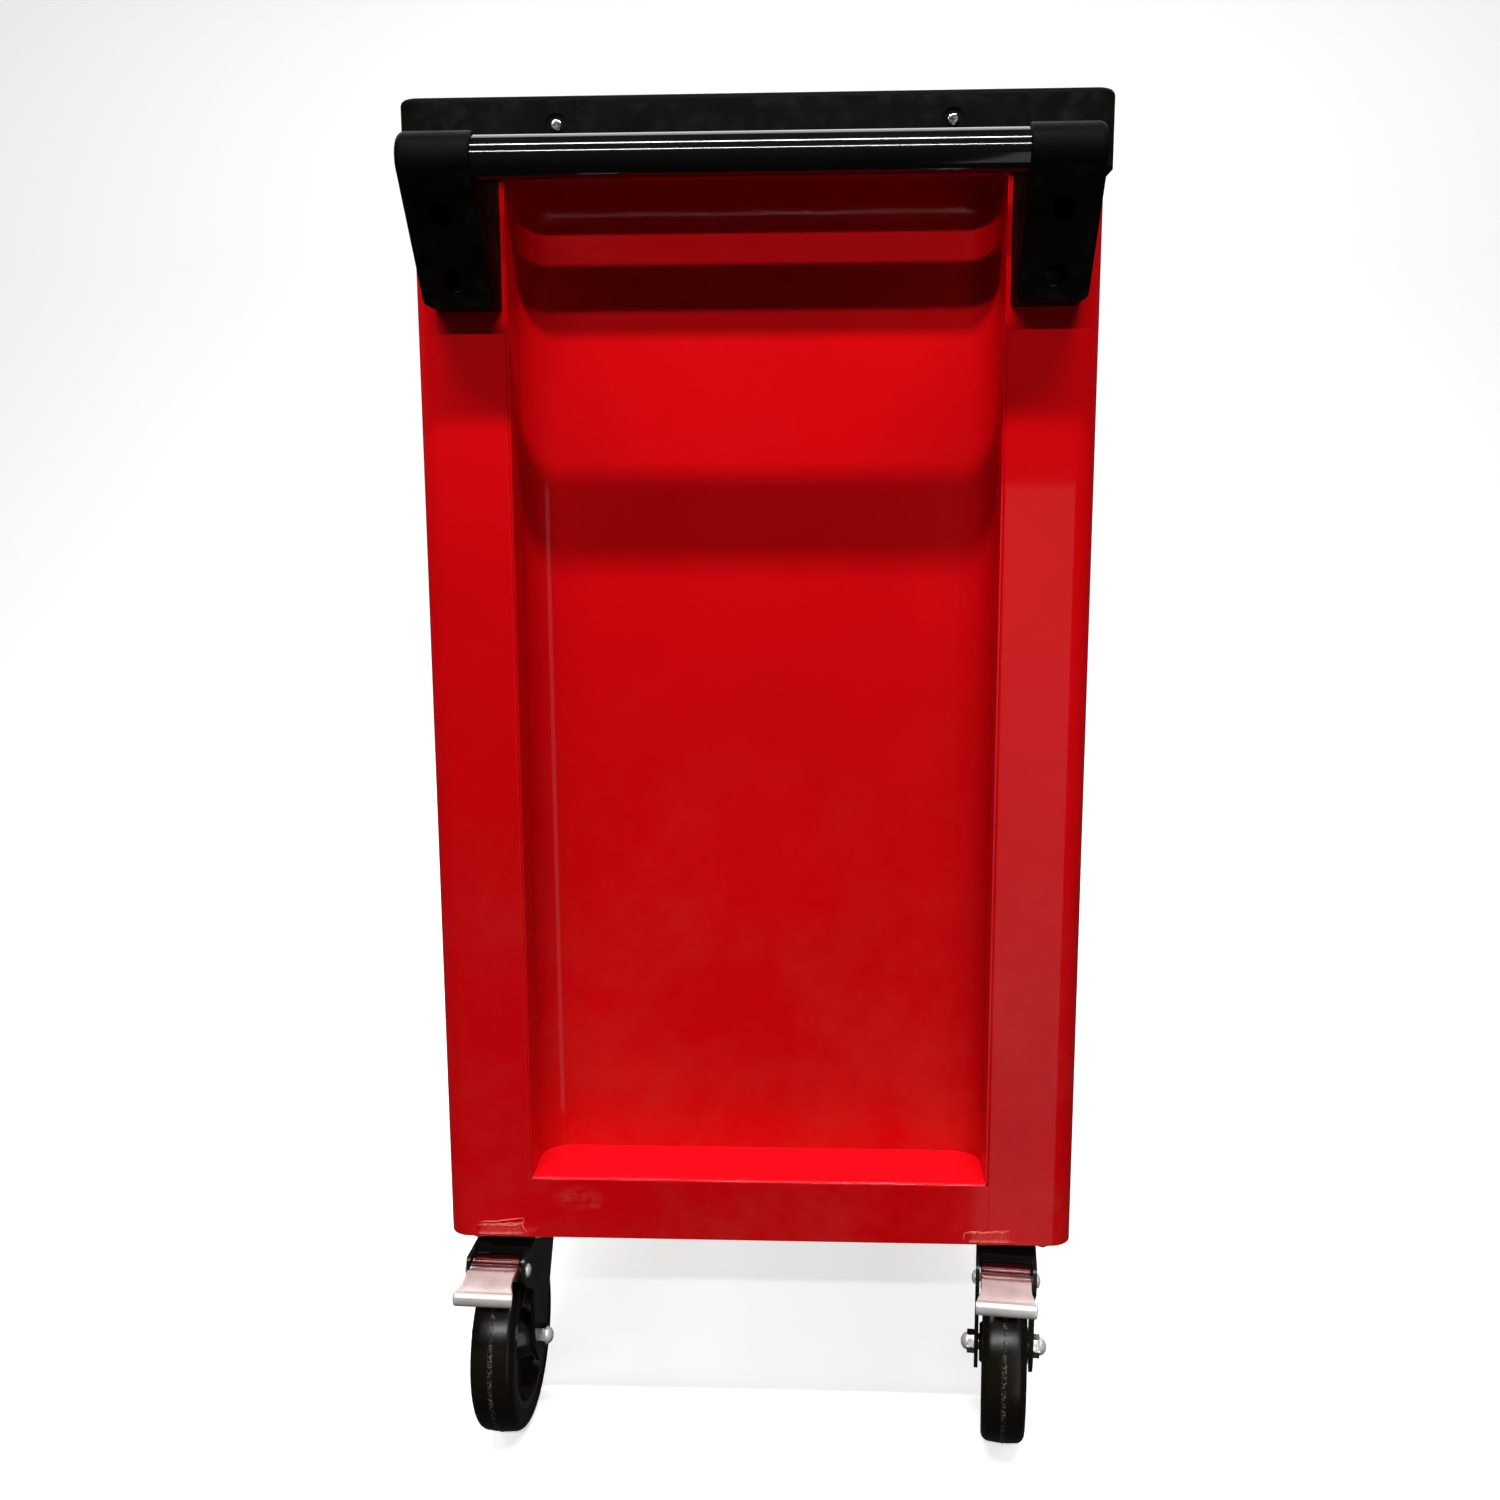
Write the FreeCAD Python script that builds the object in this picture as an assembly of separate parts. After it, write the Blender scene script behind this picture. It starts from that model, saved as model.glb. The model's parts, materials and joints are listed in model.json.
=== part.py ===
import FreeCAD, Part

import math
import os

from FreeCAD import Vector as V

# Rolling tool cabinet, millimetres, +Z up.  The push handle is at the +X end
# and the drawers open towards -Y.  The origin is the centre of the footprint
# of the whole object, on the ground.

# ---------------------------------------------------------------- driving sizes
body_length = 690.0
body_depth = 460.0
caster_height = 165.0
body_height = 750.0            # painted body visible below the tray
tray_height = 50.0

sheet = 1.2                    # folded sheet steel
post_width = 60.0              # front face of a corner post
post_end_width = 64.0          # end face of a corner post
post_radius = 16.0             # vertical outer corner
recess_depth = 58.0            # how far the end panels are set in
recess_radius = 22.0
rail_height = 47.0             # bottom rails

tray_overhang = 4.5
tray_radius = 13.0
tray_edge = 4.0                # rounding of the upper edge

handle_reach = 72.0            # tube centre, out from the end of the body
handle_tube_radius = 14.0
handle_drop = 4.0              # tube centre, below the tray skirt
bracket_inner_y = 169.0
bracket_outer_y = 215.5
bracket_hole_y = 192.0

drawer_count = 6
tall_drawers = 2               # the lowest ones
short_front = 75.0
drawer_gap = 3.0
drawer_travel = 320.0
pull_depth = 9.0

wheel_radius = 69.5
wheel_width = 32.0
swivel_inset_x = 62.0          # swivel axis, in from the handle end
fixed_inset_x = 72.0           # fixed axle, in from the far end
caster_y = 189.5
trail = 33.0                   # axle behind the swivel axis
swivel_angles = {"front": -2.5, "rear": -6.5}

# ---------------------------------------------------------------- derived places
bracket_nose = handle_tube_radius + 2.5
screw_head = 2.4
screw_sink = 1.2                           # tray screws sit in shallow seats
far_reach = tray_overhang + screw_head - screw_sink
end_x = (body_length + far_reach - handle_reach - bracket_nose) / 2
far_x = end_x - body_length
centre_y = (pull_depth - tray_overhang) / 2
front_y = centre_y - body_depth / 2
rear_y = centre_y + body_depth / 2
mid_x = (end_x + far_x) / 2

floor_z = caster_height                    # underside of the body
shell_z = floor_z + sheet                  # posts and panels stand on the base pan
skirt_z = floor_z + body_height            # bottom edge of the tray skirt
top_z = skirt_z + tray_height
shell_top = top_z - 8.0                    # posts end under the tray's rim
deck_z = skirt_z + 16.0
tube_z = skirt_z - handle_drop
recess_half = body_depth / 2 - post_end_width

opening_low = floor_z + rail_height
opening_high = skirt_z - 32.0
opening_x0 = far_x + post_width
opening_x1 = end_x - post_width


# ---------------------------------------------------------------- helpers
def box(x0, x1, y0, y1, z0, z1):
    return Part.makeBox(x1 - x0, y1 - y0, z1 - z0, V(x0, y0, z0))


def rod(radius, start, axis, length):
    return Part.makeCylinder(radius, length, V(*start), V(*axis))


def hexagon(across_flats, start, axis, length):
    """A hexagonal bar from start along axis."""
    direction = V(*axis)
    radius = across_flats / math.sqrt(3)
    points = []
    for k in range(7):
        a = math.radians(60 * k)
        points.append(V(radius * math.cos(a), radius * math.sin(a), 0))
    bar = Part.Face(Part.makePolygon(points)).extrude(V(0, 0, length))
    turn = FreeCAD.Rotation(V(0, 0, 1), direction)
    bar.Placement = FreeCAD.Placement(V(*start), turn)
    return bar


def rounded(points, radii):
    """Edges of a closed outline whose corners are rounded by radii."""
    edges = []
    spans = []
    count = len(points)
    for i in range(count):
        here, before, after = points[i], points[i - 1], points[(i + 1) % count]
        if radii[i] <= 0:
            spans.append((here, None, here))
            continue
        u = (before - here).normalize()
        w = (after - here).normalize()
        half = u.getAngle(w) / 2
        run = radii[i] / math.tan(half)
        centre = here + (u + w).normalize() * (radii[i] / math.sin(half))
        middle = centre + (here - centre).normalize() * radii[i]
        spans.append((here + u * run, middle, here + w * run))
    for i in range(count):
        start, middle, end = spans[i]
        if middle is not None:
            edges.append(Part.Arc(start, middle, end).toShape())
        following = spans[(i + 1) % count][0]
        if (following - end).Length > 1e-6:
            edges.append(Part.makeLine(end, following))
    return edges


def slab(points, radii, direction):
    """A rounded outline pushed along direction."""
    wire = Part.Wire(Part.__sortEdges__(rounded(points, radii)))
    return Part.Face(wire).extrude(direction)


def plate(x0, x1, y0, y1, z0, z1, radius):
    """A flat plate whose four upright corners are rounded."""
    corners = [V(x0, y0, z0), V(x1, y0, z0), V(x1, y1, z0), V(x0, y1, z0)]
    return slab(corners, [radius] * 4, V(0, 0, z1 - z0))


def strip(path, radii, thickness, direction):
    """Folded sheet: the path is one face, the other lies to its left.

    radii[i] is the bend at path[i] measured on the path's own side."""
    up = V(direction).normalize()
    normals = []
    for a, b in zip(path, path[1:]):
        normals.append(up.cross(b - a).normalize())
    other = [path[0] + normals[0] * thickness]
    other_radii = [0.0]
    for i in range(1, len(path) - 1):
        n0, n1 = normals[i - 1], normals[i]
        shift = (n0 + n1) * (thickness / (1 + n0.dot(n1)))
        other.append(path[i] + shift)
        turn = (path[i] - path[i - 1]).cross(path[i + 1] - path[i]).dot(up)
        step = -thickness if turn > 0 else thickness
        other_radii.append(max(radii[i] + step, 0.0))
    other.append(path[-1] + normals[-1] * thickness)
    other_radii.append(0.0)
    outline = list(path) + other[::-1]
    return slab(outline, list(radii) + other_radii[::-1], direction)


def mirror_y(shape):
    return shape.mirror(V(0, centre_y, 0), V(0, 1, 0))


def mirror_x(shape):
    return shape.mirror(V(mid_x, 0, 0), V(1, 0, 0))


def group(solids):
    return Part.makeCompound(list(solids))


nodes = {}


def keep(name, shape):
    nodes[name] = shape


# ---------------------------------------------------------------- cabinet shell
def corner_post():
    """Front post of the handle end: return flange, face, corner, end, flange."""
    x_in = end_x - post_width
    y_in = front_y + post_end_width - sheet
    path = [V(x_in, front_y + 25, shell_z), V(x_in, front_y, shell_z),
            V(end_x, front_y, shell_z), V(end_x, y_in, shell_z),
            V(end_x - 14, y_in, shell_z)]
    return strip(path, [0, 1.6, post_radius, 1.6, 0], sheet, V(0, 0, shell_top - shell_z))


def bracket_holes():
    holes = []
    for z in bracket_screw_heights():
        y = centre_y - bracket_hole_y
        holes.append(rod(3.3, (end_x - 4, y, z), (1, 0, 0), 8))
    return holes


def bracket_screw_heights():
    return [skirt_z - 36.0, skirt_z - 71.5]


def end_panel():
    """The set-in end panel: side walls, round corners and a flat middle."""
    y0 = centre_y - recess_half
    y1 = centre_y + recess_half
    x0 = end_x - recess_depth
    x1 = end_x - 0.8
    z = floor_z + rail_height
    path = [V(x1, y0, z), V(x0, y0, z), V(x0, y1, z), V(x1, y1, z)]
    return strip(path, [0, recess_radius, recess_radius, 0], sheet, V(0, 0, shell_top - z))


def recess_plan(z0, z1):
    """The space inside the recess, as seen from above."""
    y0 = centre_y - recess_half
    y1 = centre_y + recess_half
    points = [V(end_x, y0, z0), V(end_x, y1, z0),
              V(end_x - recess_depth, y1, z0), V(end_x - recess_depth, y0, z0)]
    return slab(points, [0, 0, recess_radius, recess_radius], V(0, 0, z1 - z0))


def end_bottom_rail():
    """Flush face between the posts with the ledge folded back over it."""
    ledge_top = floor_z + rail_height
    x0 = end_x - recess_depth
    path = [V(end_x, centre_y - recess_half, shell_z),
            V(end_x, centre_y - recess_half, ledge_top),
            V(x0, centre_y - recess_half, ledge_top)]
    rail = strip(path[::-1], [0, 2.4, 0], sheet, V(0, 2 * recess_half, 0))
    return rail.common(recess_plan(shell_z, ledge_top))


def end_top_rail():
    """Channel that closes the top of the recess behind the tray skirt."""
    y0 = centre_y - recess_half
    z0 = skirt_z + 3
    x0 = end_x - recess_depth
    path = [V(end_x, y0, z0), V(end_x, y0, shell_top), V(x0, y0, shell_top)]
    rail = strip(path[::-1], [0, 2.4, 0], sheet, V(0, 2 * recess_half, 0))
    rail = rail.common(recess_plan(z0, shell_top))
    return rail.cut(tray_screw_holes(2.2))


def tray_screw_places():
    z = top_z - 19
    return [(centre_y - 129.0, z), (centre_y + 129.0, z)]


def tray_screw_holes(radius):
    holes = []
    for y, z in tray_screw_places():
        holes.append(rod(radius, (end_x - 12, y, z), (1, 0, 0), 20))
    return holes


def back_panel():
    """Sheet between the rear posts, its edges folded inwards."""
    x0 = opening_x0 + 0.5
    x1 = opening_x1 - 0.5
    y = rear_y - 1.3
    path = [V(x0, y - 14, shell_z), V(x0, y, shell_z), V(x1, y, shell_z), V(x1, y - 14, shell_z)]
    return strip(path[::-1], [0, 2.4, 2.4, 0], sheet, V(0, 0, shell_top - shell_z))


def front_rail(z0, z1, fold):
    """Flush face between the front posts with its long edges folded back."""
    x0 = opening_x0 + 0.5
    length = opening_x1 - opening_x0 - 1.0
    back = front_y + fold
    path = [V(x0, back, z0), V(x0, front_y, z0), V(x0, front_y, z1), V(x0, back, z1)]
    return strip(path[::-1], [0, 2.4, 2.4, 0], sheet, V(length, 0, 0))


def base_pan():
    pan = plate(far_x, end_x, front_y, rear_y, floor_z, shell_z, post_radius)
    return pan.cut([rod(4.2, (x, y, floor_z - 1), (0, 0, 1), 4) for x, y in caster_bolt_places()])


def top_deck():
    """Flat sheet under the tray, folded down along the front and back."""
    x0 = opening_x0 + 0.5
    y0 = front_y + 24
    y1 = rear_y - 18
    path = [V(x0, y0, deck_z - 6), V(x0, y0, deck_z), V(x0, y1, deck_z), V(x0, y1, deck_z - 6)]
    return strip(path, [0, 2.4, 2.4, 0], sheet, V(opening_x1 - opening_x0 - 1.0, 0, 0))


# ---------------------------------------------------------------- top tray
def top_tray():
    x0, x1 = far_x - tray_overhang, end_x + tray_overhang
    y0, y1 = front_y - tray_overhang, rear_y + tray_overhang
    tray = plate(x0, x1, y0, y1, skirt_z, top_z, tray_radius)
    top_edges = [e for e in tray.Edges if e.BoundBox.ZMin > top_z - 0.01]
    tray = tray.makeFillet(tray_edge, top_edges)
    low_edges = [e for e in tray.Edges if e.BoundBox.ZMax < skirt_z + 0.01]
    tray = tray.makeChamfer(1.2, low_edges)
    gap = tray_overhang - 0.2
    hollow = plate(x0 + gap, x1 - gap, y0 + gap, y1 - gap, skirt_z - 1, shell_top + 0.2, tray_radius - gap)
    tray = tray.cut(hollow)
    well = [x0 + 76, x1 - 76, y0 + 32, y1 - 26]
    well_floor = deck_z + sheet + 0.2
    outer = plate(well[0] - 3, well[1] + 3, well[2] - 3, well[3] + 3, well_floor, top_z - 4, 15)
    inner = plate(*well, well_floor + 3, top_z + 1, 12)
    tray = tray.fuse(outer).cut(inner)
    for a, b in ((x0 + 14, x0 + 62), (x1 - 62, x1 - 14)):
        tray = tray.cut(plate(a, b, y0 + 22, y1 - 22, top_z - 3.0, top_z + 1, 9))
    holes = tray_screw_holes(2.2)
    for y, z in tray_screw_places():
        holes.append(rod(7.5, (x1 - screw_sink, y, z), (1, 0, 0), 5))
    holes += [mirror_x(h) for h in holes]
    return tray.cut(holes).removeSplitter()


def tray_screw(y, z):
    """Pan head with a cross recess, and its shank."""
    x = end_x + tray_overhang - screw_sink
    head = rod(4.0, (x, y, z), (1, 0, 0), screw_head)
    rim = [e for e in head.Edges if e.BoundBox.XMin > x + 2.3]
    head = head.makeFillet(1.4, rim)
    slot = box(x + 1.2, x + 3, y - 2.2, y + 2.2, z - 0.5, z + 0.5)
    cross = box(x + 1.2, x + 3, y - 0.5, y + 0.5, z - 2.2, z + 2.2)
    shank = rod(2.1, (x - 13, y, z), (1, 0, 0), 13.5)
    return head.fuse(shank).cut([slot, cross])


# ---------------------------------------------------------------- push handle
def handle_bracket():
    """Front bracket: a block whose nose is round about the tube."""
    y0 = centre_y - bracket_outer_y
    y1 = centre_y - bracket_inner_y
    nose = bracket_nose
    cx, cz = end_x + handle_reach, tube_z
    foot = V(end_x + 30, y0, tube_z - 82.0)
    centre = V(cx, y0, cz)
    # Tangent from the foot of the front face to the nose.
    away = foot - centre
    spread = math.acos(nose / away.Length)
    base = math.atan2(away.z, away.x)
    touch = centre + V(math.cos(base + spread), 0, math.sin(base + spread)) * nose
    top = V(cx, y0, cz + nose)
    far_side = centre + V(math.cos(math.radians(20)), 0, math.sin(math.radians(20))) * nose
    back_low = V(end_x, y0, foot.z)
    step_low = V(end_x, y0, skirt_z - 0.6)
    step = V(end_x + tray_overhang + 0.4, y0, skirt_z - 0.6)
    back_top = V(end_x + tray_overhang + 0.4, y0, cz + nose)
    edges = [Part.makeLine(back_low, foot), Part.makeLine(foot, touch),
             Part.Arc(touch, far_side, top).toShape(), Part.makeLine(top, back_top),
             Part.makeLine(back_top, step), Part.makeLine(step, step_low),
             Part.makeLine(step_low, back_low)]
    block = Part.Face(Part.Wire(edges)).extrude(V(0, y1 - y0, 0))
    sides = []
    for e in block.Edges:
        b = e.BoundBox
        flat = b.YLength < 0.01
        outer = abs(b.YMin - y0) < 0.01
        at_back = b.XMax < end_x + tray_overhang + 1
        if flat and not at_back and outer:
            sides.append(e)
    block = block.makeFillet(5.0, sides)
    inner_edges = []
    for e in block.Edges:
        b = e.BoundBox
        if b.YLength < 0.01 and abs(b.YMin - y1) < 0.01 and b.XMax > end_x + tray_overhang + 1:
            inner_edges.append(e)
    block = block.makeFillet(1.5, inner_edges)
    block = block.common(bracket_face(y0, y1, foot.z, cz + nose))
    cuts = [rod(handle_tube_radius + 0.1, (cx, y1 - 20, cz), (0, 1, 0), 30)]
    y = centre_y - bracket_hole_y
    for z in bracket_screw_heights():
        cuts.append(rod(6.7, (end_x + 18, y, z), (1, 0, 0), 80))
        cuts.append(rod(3.3, (end_x - 1, y, z), (1, 0, 0), 30))
    return block.cut(cuts)


def bracket_face(y0, y1, z0, z1):
    """The bracket as seen along X, with its two lower corners rounded."""
    points = [V(end_x - 1, y0, z0), V(end_x - 1, y1, z0),
              V(end_x - 1, y1, z1 + 1), V(end_x - 1, y0, z1 + 1)]
    return slab(points, [6, 3, 0, 0], V(handle_reach + 30, 0, 0))


def handle_tube():
    half = bracket_inner_y + 19.5
    start = (end_x + handle_reach, centre_y - half, tube_z)
    tube = rod(handle_tube_radius, start, (0, 1, 0), 2 * half)
    return tube.cut(rod(handle_tube_radius - 1.5, start, (0, 1, 0), 2 * half))


def handle_screw(y, z):
    """Socket screw in its counterbore, with a nut inside the post."""
    head = rod(5.5, (end_x + 18, y, z), (1, 0, 0), 6)
    head = head.cut(hexagon(5, (end_x + 20.5, y, z), (1, 0, 0), 6))
    shank = rod(3.0, (end_x - 9, y, z), (1, 0, 0), 27.5)
    nut = hexagon(10, (end_x - sheet - 5, y, z), (1, 0, 0), 5).cut(rod(3.0, (end_x - 12, y, z), (1, 0, 0), 30))
    return [head.fuse(shank), nut]


# ---------------------------------------------------------------- drawers
def front_heights():
    """Bottom and top of each drawer front, from the lowest up."""
    clear = opening_high - opening_low - drawer_gap * (drawer_count + 1)
    tall = (clear - short_front * (drawer_count - tall_drawers)) / tall_drawers
    levels = []
    z = opening_low + drawer_gap
    for i in range(drawer_count):
        height = tall if i < tall_drawers else short_front
        levels.append((z, z + height))
        z += height + drawer_gap
    return levels


slide_clear = 13.0             # room for a slide on each side of a drawer
box_x0 = opening_x0 + slide_clear
box_x1 = opening_x1 - slide_clear
box_front = front_y + sheet
box_rear = rear_y - 52
box_lift = 8.0                 # drawer box above the front's lower edge
box_drop = 10.0                # drawer box below the front's upper edge


def slide_level(z0, z1):
    return z0 + 34.0


def drawer_box(z0, z1):
    """Five welded 1 mm sheets with a slide member on each side."""
    low, high = z0 + box_lift, z1 - box_drop
    t = 1.0
    shell = [box(box_x0, box_x1, box_front, box_rear, low, low + t),
             box(box_x0, box_x0 + t, box_front, box_rear, low + t, high),
             box(box_x1 - t, box_x1, box_front, box_rear, low + t, high),
             box(box_x0 + t, box_x1 - t, box_front, box_front + t, low + t, high),
             box(box_x0 + t, box_x1 - t, box_rear - t, box_rear, low + t, high)]
    y0 = front_y + 18
    z = slide_level(z0, z1)
    members = []
    for x_side, out in ((box_x1, 1), (box_x0, -1)):
        reach = x_side + out * 9.0
        path = [V(reach, y0, z - 17), V(x_side, y0, z - 17), V(x_side, y0, z + 17), V(reach, y0, z + 17)]
        if out > 0:
            path = path[::-1]
        members.append(strip(path, [0, 0, 0, 0], -sheet, V(0, box_rear - y0, 0)))
    return group(shell + members)


def slide_channel(z0, z1, out):
    """Fixed slide member on the posts; out is +1 at the handle end."""
    x_side = opening_x1 if out > 0 else opening_x0
    y0 = front_y + 17
    y1 = rear_y - 26
    z = slide_level(z0, z1)
    reach = x_side - out * 11.0
    path = [V(reach, y0, z - 19.2), V(x_side, y0, z - 19.2), V(x_side, y0, z + 19.2), V(reach, y0, z + 19.2)]
    if out > 0:
        path = path[::-1]
    return strip(path, [0, 0, 0, 0], sheet, V(0, y1 - y0, 0))


def drawer_front(z0, z1):
    """Shallow pan: the face and four returned edges."""
    x0, x1 = opening_x0 + 1.5, opening_x1 - 1.5
    face = box(x0, x1, front_y, front_y + 14, z0, z1)
    rim = []
    for e in face.Edges:
        b = e.BoundBox
        if b.YMax < front_y + 0.01 or b.YLength > 13:
            rim.append(e)
    face = face.makeFillet(1.6, rim)
    return face.cut(box(x0 + sheet, x1 - sheet, front_y + sheet, front_y + 15, z0 + sheet, z1 - sheet))


def drawer_pull(z0, z1):
    """Full-length extruded pull: base against the front and a hooked lip."""
    x0, x1 = opening_x0 + 3.5, opening_x1 - 3.5
    top = z1 - 1.6
    wall = 1.4
    out = front_y - pull_depth
    path = [V(x0, front_y, top - 26), V(x0, front_y, top), V(x0, out, top), V(x0, out, top - 15)]
    return strip(path, [0, 1.6, 4.0, 0], wall, V(x1 - x0, 0, 0))


# ---------------------------------------------------------------- lock
lock_x = opening_x1 - 30.0
lock_z = (opening_high + skirt_z) / 2


def lock_barrel():
    barrel = rod(9.5, (lock_x, front_y - 2, lock_z), (0, 1, 0), 30)
    flange = rod(12.0, (lock_x, front_y - 2, lock_z), (0, 1, 0), 2)
    return barrel.fuse(flange).cut(rod(7.05, (lock_x, front_y - 4, lock_z), (0, 1, 0), 40))


def lock_plug():
    """Keyed plug with the cam that lifts the lock bar on its inner end."""
    plug = rod(7.0, (lock_x, front_y - 2.6, lock_z), (0, 1, 0), 34)
    plug = plug.cut(box(lock_x - 1, lock_x + 1, front_y - 4, front_y + 6, lock_z - 4, lock_z + 4))
    cam_y = front_y + 31.4
    cam = plate_y(lock_x - 6, lock_x + 6, lock_z - 24, lock_z + 8, cam_y, 2.5, 5.5)
    return plug.fuse(cam)


def plate_y(x0, x1, z0, z1, y, thickness, radius):
    """An upright plate in the XZ plane with round corners."""
    points = [V(x0, y, z0), V(x1, y, z0), V(x1, y, z1), V(x0, y, z1)]
    return slab(points, [radius] * 4, V(0, thickness, 0))


def lock_bar():
    """Upright bar inside the front post with a dog beside each drawer slide."""
    x0 = end_x - 52
    y0 = front_y + 16
    bar = box(x0, x0 + 3, y0, y0 + 18, floor_z + 40, skirt_z - 20)
    dogs = []
    for z0, z1 in front_heights():
        z = slide_level(z0, z1)
        dogs.append(box(x0 - 4, x0, y0 + 2, y0 + 14, z + 8, z + 14))
    return bar.fuse(dogs)


# ---------------------------------------------------------------- casters
fork_inner = wheel_width / 2 + 3.0
fork_wall = 3.0
plate_low = floor_z - 4.0
axle_z = wheel_radius
axle_radius = 6.0


def caster_bolt_places():
    places = []
    for x in (end_x - swivel_inset_x, far_x + fixed_inset_x):
        for side in (-1, 1):
            for dx in (-40, 40):
                for dy in (-21.5, 21.5):
                    places.append((x + dx, centre_y + side * caster_y + dy))
    return places


def top_plate(x, y):
    base = plate(x - 50, x + 50, y - 36, y + 36, plate_low, floor_z, 8)
    return base.cut([rod(4.2, (px, py, plate_low - 1), (0, 0, 1), 8) for px, py in caster_bolt_places()])


def swivel_plate(x, y):
    """Mounting plate, raceway cup and the kingpin with its head."""
    cup = rod(25, (x, y, plate_low - 7), (0, 0, 1), 7)
    low = [e for e in cup.Edges if e.BoundBox.ZMax < plate_low - 6.9]
    cup = cup.makeFillet(3.0, low)
    pin = rod(6.0, (x, y, plate_low - 15), (0, 0, 1), 12)
    head = rod(9.5, (x, y, plate_low - 15), (0, 0, 1), 3.4)
    return top_plate(x, y).fuse([cup, pin, head])


def leg_outline(lean):
    """Side view of a fork leg in the caster's own frame, axle at lean."""
    z_top = plate_low - 8
    return [V(-26, 0, z_top), V(lean + 42, 0, z_top), V(lean + 43, 0, z_top - 19),
            V(lean + 18, 0, z_top - 36), V(lean + 15, 0, axle_z - 4), V(lean + 4, 0, axle_z - 20),
            V(lean - 5, 0, axle_z - 20), V(lean - 17, 0, axle_z - 4), V(-26, 0, z_top - 20)]


def swivel_fork():
    """Pressed yoke: a round-holed crown and two legs, swivel axis at x=y=0."""
    z_top = plate_low - 8
    radii = [3, 3, 7, 9, 8, 4, 4, 8, 8]
    legs = []
    for y in (-fork_inner - fork_wall, fork_inner):
        outline = [p + V(0, y, 0) for p in leg_outline(trail)]
        leg = slab(outline, radii, V(0, fork_wall, 0))
        cuts = [rod(axle_radius, (trail, y - 1, axle_z), (0, 1, 0), fork_wall + 2),
                rod(3.05, (pedal_x, y - 1, pedal_z), (0, 1, 0), fork_wall + 2)]
        legs.append(leg.cut(cuts))
    width = fork_inner + fork_wall
    crown = plate(-26, 54, -width, width, z_top - 3, z_top, 2)
    crown = crown.cut(rod(6.05, (0, 0, z_top - 5), (0, 0, 1), 8))
    lip = box(51, 54, -fork_inner - 1, fork_inner + 1, z_top - 12, z_top - 2)
    return crown.fuse(legs + [lip]).removeSplitter()


pedal_x = trail + 35.0
pedal_z = floor_z - 23.5


def brake_pedal():
    """Pressed pedal with ears on a rivet through the fork, and a brake shoe."""
    ear_y = fork_inner - 0.6
    half = ear_y + 3.6
    top = V(pedal_x - 7, -ear_y, floor_z - 9)
    bend = V(pedal_x + 14, -ear_y, floor_z - 11.5)
    lip = V(pedal_x + 43, -ear_y, floor_z - 14.5)
    curl = V(pedal_x + 46, -ear_y, floor_z - 21)
    pad = strip([curl, lip, bend, top], [0, 2.0, 0, 0], 2.0, V(0, 2 * ear_y, 0))
    out = V(0, ear_y - half, 0)
    flare = strip([curl + out, lip + out, lip + (bend - lip) * 0.7 + out], [0, 2.0, 0], 2.0,
                  V(0, 2 * half, 0))
    ears = []
    for y in (-ear_y, ear_y - 2.0):
        outline = [V(pedal_x - 7, y, floor_z - 8), V(pedal_x + 12, y, floor_z - 10.3),
                   V(pedal_x + 7, y, pedal_z - 6), V(pedal_x - 12, y, pedal_z - 6)]
        ears.append(slab(outline, [0, 0, 5, 3], V(0, 2.0, 0)))
    shoe = box(pedal_x + 10, pedal_x + 12, -14, 14, pedal_z - 14.2, floor_z - 10.5)
    rivet = rod(3.0, (pedal_x, -fork_inner - fork_wall - 1.5, pedal_z), (0, 1, 0), 2 * (fork_inner + fork_wall + 1.5))
    heads = []
    for y in (-fork_inner - fork_wall - 2.3, fork_inner + fork_wall + 0.3):
        heads.append(rod(5.0, (pedal_x, y, pedal_z), (0, 1, 0), 2.0))
    return pad.fuse([flare, shoe, rivet] + ears + heads).removeSplitter()


def fixed_fork(x, y):
    """Rigid caster: mounting plate with two legs straight down to the axle."""
    legs = []
    for dy in (-fork_inner - fork_wall, fork_inner):
        outline = [V(x - 30, y + dy, plate_low + 1), V(x + 30, y + dy, plate_low + 1),
                   V(x + 15, y + dy, axle_z - 6), V(x + 5, y + dy, axle_z - 20),
                   V(x - 5, y + dy, axle_z - 20), V(x - 15, y + dy, axle_z - 6)]
        leg = slab(outline, [0, 0, 10, 4, 4, 10], V(0, fork_wall, 0))
        legs.append(leg.cut(rod(axle_radius, (x, y + dy - 1, axle_z), (0, 1, 0), fork_wall + 2)))
    return top_plate(x, y).fuse(legs)


def axle():
    """Bolt and nut through the fork, axle at x=0."""
    half = fork_inner + fork_wall
    bolt = rod(axle_radius - 0.05, (0, -half - 0.5, axle_z), (0, 1, 0), 2 * half + 6)
    head = hexagon(15, (0, -half - 5.5, axle_z), (0, 1, 0), 5.5)
    nut = hexagon(15, (0, half, axle_z), (0, 1, 0), 5).cut(rod(axle_radius - 0.05, (0, half - 1, axle_z), (0, 1, 0), 12))
    return group([bolt.fuse(head), nut])


def revolve(points):
    """A ring turned about the axle line from (y, r) points."""
    wire = Part.makePolygon([V(0, y, axle_z + r) for y, r in points + points[:1]])
    return Part.Face(wire).revolve(V(0, 0, axle_z), V(0, 1, 0), 360)


rim_radius = 54.0


def tyre():
    half = wheel_width / 2
    return revolve([(-half, rim_radius), (half, rim_radius), (half, wheel_radius - 5),
                    (half - 2, wheel_radius - 1.6), (half - 6, wheel_radius), (-half + 6, wheel_radius),
                    (-half + 2, wheel_radius - 1.6), (-half, wheel_radius - 5)])


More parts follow.
